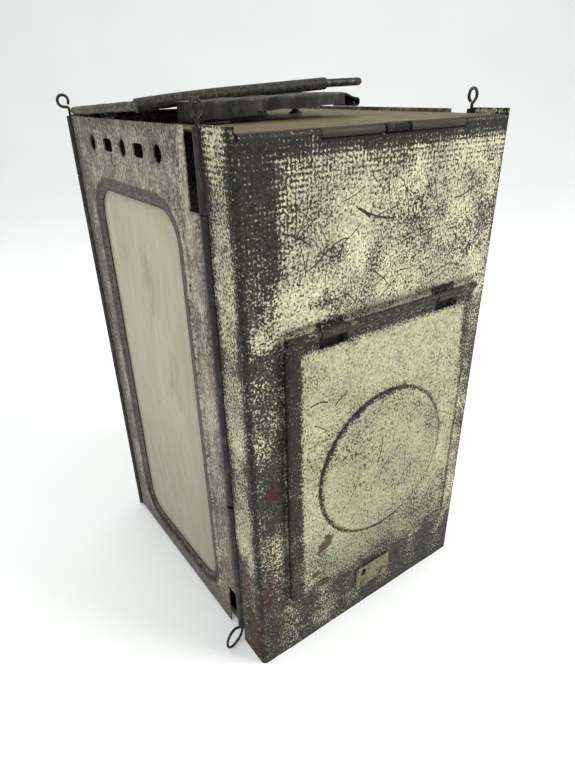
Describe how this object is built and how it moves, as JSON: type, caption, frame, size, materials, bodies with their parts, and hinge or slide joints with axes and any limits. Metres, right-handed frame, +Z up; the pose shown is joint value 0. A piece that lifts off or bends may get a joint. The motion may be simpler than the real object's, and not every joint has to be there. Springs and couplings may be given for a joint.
{
  "type": "railway lantern",
  "caption": "Folding sheet-metal hand lantern with mica side windows, a hinged signal flap, a sprung vented roof and wire hinge pins.",
  "frame": {"origin": "centre of the floor pan's underside, on the surface that the lantern stands on", "axes": "+X along the front wall to the viewer's right, +Y into the depth away from the front wall, +Z up"},
  "size_m": [0.1357, 0.1444, 0.2318],
  "materials": {
    "tinplate": "worn, speckled tinplate",
    "worn_tin": "dulled, stained tinplate",
    "roof_tin": "heat-browned sheet",
    "iron_wire": "dark annealed wire",
    "mica": "milky, smeared mica",
    "glass": "clear round glass",
    "wax": "candle wax",
    "wick": "charred cotton"
  },
  "bodies": {
    "case": {"front_wall": "tinplate", "rear_wall": "tinplate", "right_panel": "worn_tin", "floor_pan": "worn_tin", "right_mica": "mica", "right_mica_frame": "worn_tin", "signal_glass": "glass", "glass_retainer": "worn_tin", "roof_hinge_pin": "iron_wire", "flap_hinge_pin": "iron_wire", "roof_spring": "iron_wire", "catch_rivet_left": "iron_wire", "catch_rivet_right": "iron_wire", "candle_socket": "worn_tin", "drip_tray": "worn_tin", "candle": "wax", "wick": "wick"},
    "roof": {"roof_plate": "roof_tin", "vent_hood": "worn_tin", "chimney_cap": "worn_tin", "cap_post_1": "iron_wire", "cap_post_2": "iron_wire", "cap_post_3": "iron_wire", "cap_post_4": "iron_wire", "hood_rivet_front": "iron_wire", "hood_rivet_rear": "iron_wire"},
    "hanger": {"hanger": "iron_wire"},
    "flap": {"flap": "tinplate"},
    "door": {"left_panel": "worn_tin", "left_mica": "mica", "left_mica_frame": "worn_tin"},
    "catch": {"flap_catch": "tinplate"},
    "front_left_top_pin": {"front_left_top_pin": "iron_wire"},
    "front_left_bottom_pin": {"front_left_bottom_pin": "iron_wire"},
    "front_right_pin": {"front_right_pin": "iron_wire"},
    "rear_left_pin": {"rear_left_pin": "iron_wire"},
    "rear_right_pin": {"rear_right_pin": "iron_wire"}
  },
  "joints": [
    {"name": "roof_hinge", "type": "hinge", "parent": "case", "child": "roof", "pos_m": [0, -0.0673, 0.2164], "axis": [1, 0, 0], "range_deg": [0, 100], "stiffness_Nm_per_rad": 0.02, "springref_deg": -28.65},
    {"name": "hanger_swing", "type": "hinge", "parent": "roof", "child": "hanger", "pos_m": [-0.0603, -0.0052, 0.2251], "axis": [0.9985, 0, 0.0541], "range_deg": [0, 110]},
    {"name": "flap_hinge", "type": "hinge", "parent": "case", "child": "flap", "pos_m": [0, -0.0712, 0.1542], "axis": [-1, 0, 0], "range_deg": [0, 140]},
    {"name": "door_hinge", "type": "hinge", "parent": "case", "child": "door", "pos_m": [-0.061, 0.0686, 0], "axis": [0, 0, -1], "range_deg": [0, 100]},
    {"name": "catch_flex", "type": "hinge", "parent": "case", "child": "catch", "pos_m": [0.003, -0.06975, 0.0125], "axis": [1, 0, 0], "range_deg": [0, 3], "stiffness_Nm_per_rad": 0.05},
    {"name": "front_left_top_pin_pull", "type": "slide", "parent": "case", "child": "front_left_top_pin", "axis": [0, 0, 1], "range_m": [0, 0.03]},
    {"name": "front_left_bottom_pin_pull", "type": "slide", "parent": "case", "child": "front_left_bottom_pin", "axis": [0, 0, -1], "range_m": [0, 0.02]},
    {"name": "front_right_pin_pull", "type": "slide", "parent": "case", "child": "front_right_pin", "axis": [0, 0, 1], "range_m": [0, 0.2]},
    {"name": "rear_left_pin_pull", "type": "slide", "parent": "case", "child": "rear_left_pin", "axis": [0, 0, 1], "range_m": [0, 0.2]},
    {"name": "rear_right_pin_pull", "type": "slide", "parent": "case", "child": "rear_right_pin", "axis": [0, 0, 1], "range_m": [0, 0.2]}
  ]
}
